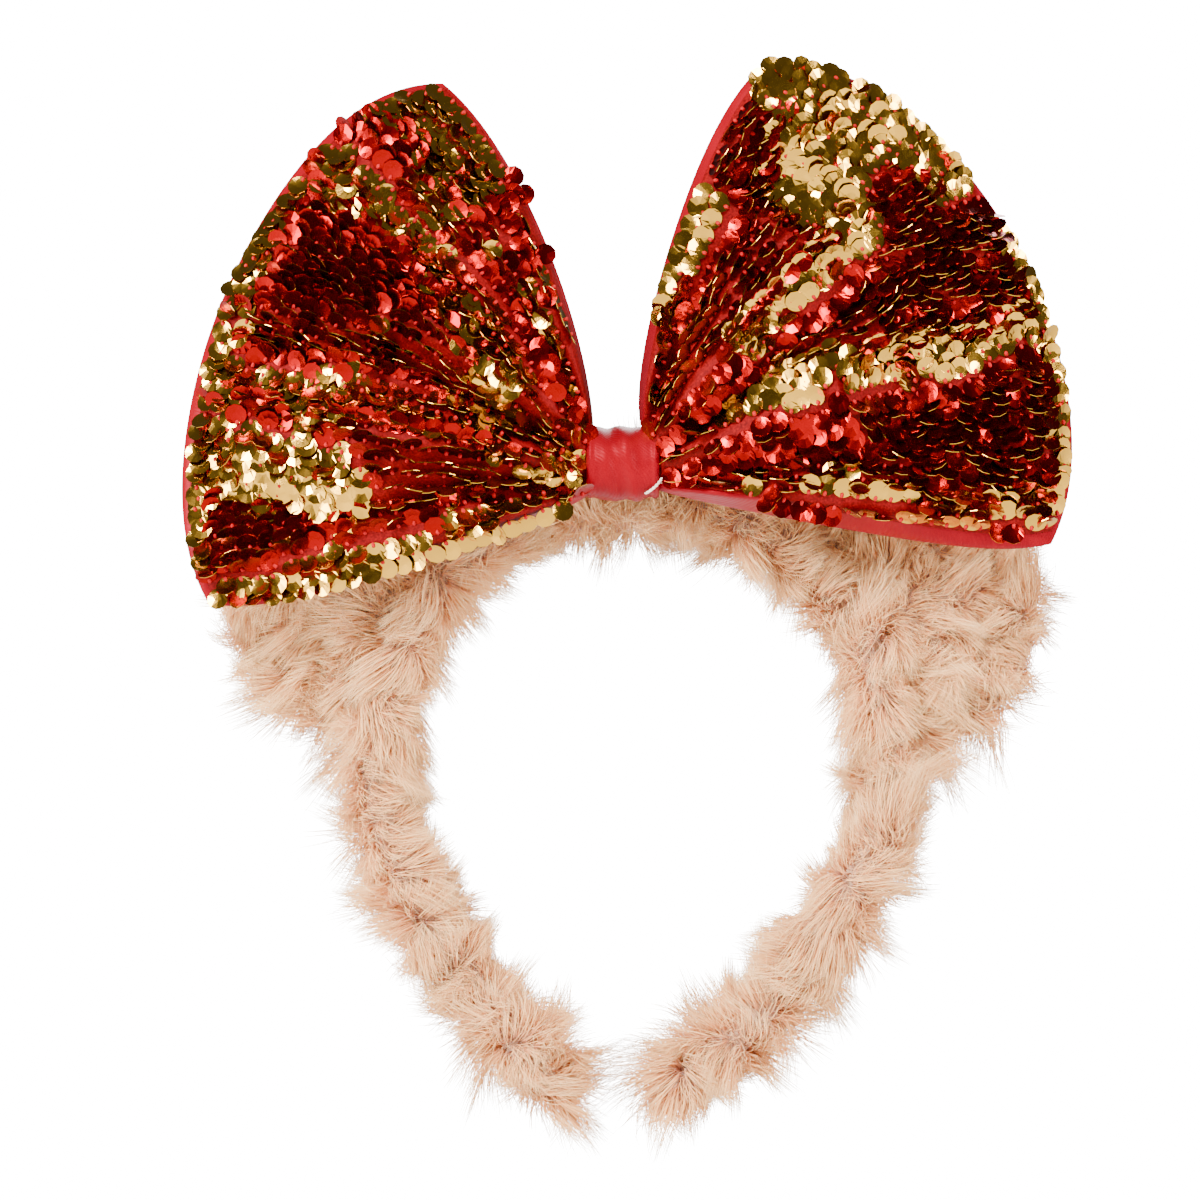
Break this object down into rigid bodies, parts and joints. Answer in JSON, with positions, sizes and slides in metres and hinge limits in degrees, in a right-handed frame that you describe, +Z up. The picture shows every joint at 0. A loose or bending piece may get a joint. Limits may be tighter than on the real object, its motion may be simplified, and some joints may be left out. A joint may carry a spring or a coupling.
{
  "type": "animal ears headband",
  "caption": "Springy plush-covered horseshoe headband with round plush ears and a large upright sequined bow.",
  "frame": {"origin": "the head side of the pile at the crown, midway across the band", "axes": "+Z up out of the wearer's head, +X to the right as seen from the front, -Y forward"},
  "size_m": [0.2037, 0.0577, 0.2526],
  "materials": {
    "strip": "moulded plastic, satin",
    "foam": "thin sponge foam",
    "plush": "long swirled pile",
    "filling": "loose polyester fibre",
    "sequin": "reversible sequins, metallic gold one face and red the other",
    "mesh_cloth": "fine red mesh",
    "satin": "satin, soft sheen",
    "thread": "sewing thread",
    "felt": "pressed felt"
  },
  "bodies": {
    "root": {"band_strip_crown": "strip", "band_foam_crown": "foam", "plush_sleeve_crown": "plush", "knot_wrap": "satin", "bow_gather": "satin", "gather_thread": "thread", "backing_felt": "felt", "tack_stitches": "thread"},
    "leg_left": {"band_strip_left": "strip", "band_foam_left": "foam", "plush_sleeve_left": "plush"},
    "leg_right": {"band_strip_right": "strip", "band_foam_right": "foam", "plush_sleeve_right": "plush"},
    "ear_left": {"ear_left_front": "plush", "ear_left_back": "plush", "ear_left_stuffing": "filling"},
    "ear_right": {"ear_right_front": "plush", "ear_right_back": "plush", "ear_right_stuffing": "filling"},
    "bow_left": {"bow_left_sequins": "sequin", "bow_left_mesh": "mesh_cloth", "bow_left_filling": "filling", "bow_left_back": "satin"},
    "bow_right": {"bow_right_sequins": "sequin", "bow_right_mesh": "mesh_cloth", "bow_right_filling": "filling", "bow_right_back": "satin"}
  },
  "joints": [
    {"name": "leg_left_flex", "type": "hinge", "parent": "root", "child": "leg_left", "pos_m": [-0.03499, 0, -0.00003], "axis": [0, 1, 0], "range_deg": [-1.5, 16], "stiffness_Nm_per_rad": 1.5},
    {"name": "leg_right_flex", "type": "hinge", "parent": "root", "child": "leg_right", "pos_m": [0.03499, 0, -0.00003], "axis": [0, -1, 0], "range_deg": [-1.5, 16], "stiffness_Nm_per_rad": 1.5},
    {"name": "ear_left_flop", "type": "hinge", "parent": "leg_left", "child": "ear_left", "pos_m": [-0.0634, 0, -0.0134], "axis": [-0.5, 0, -0.866], "range_deg": [0, 15], "stiffness_Nm_per_rad": 0.3},
    {"name": "ear_right_flop", "type": "hinge", "parent": "leg_right", "child": "ear_right", "pos_m": [0.0634, 0, -0.0134], "axis": [-0.5, 0, 0.866], "range_deg": [0, 15], "stiffness_Nm_per_rad": 0.3},
    {"name": "bow_left_flop", "type": "hinge", "parent": "root", "child": "bow_left", "pos_m": [-0.0145, -0.0245, 0.018], "axis": [0, 0, 1], "range_deg": [0, 15], "stiffness_Nm_per_rad": 0.3},
    {"name": "bow_right_flop", "type": "hinge", "parent": "root", "child": "bow_right", "pos_m": [0.0085, -0.0245, 0.018], "axis": [0, 0, -1], "range_deg": [0, 15], "stiffness_Nm_per_rad": 0.3}
  ]
}
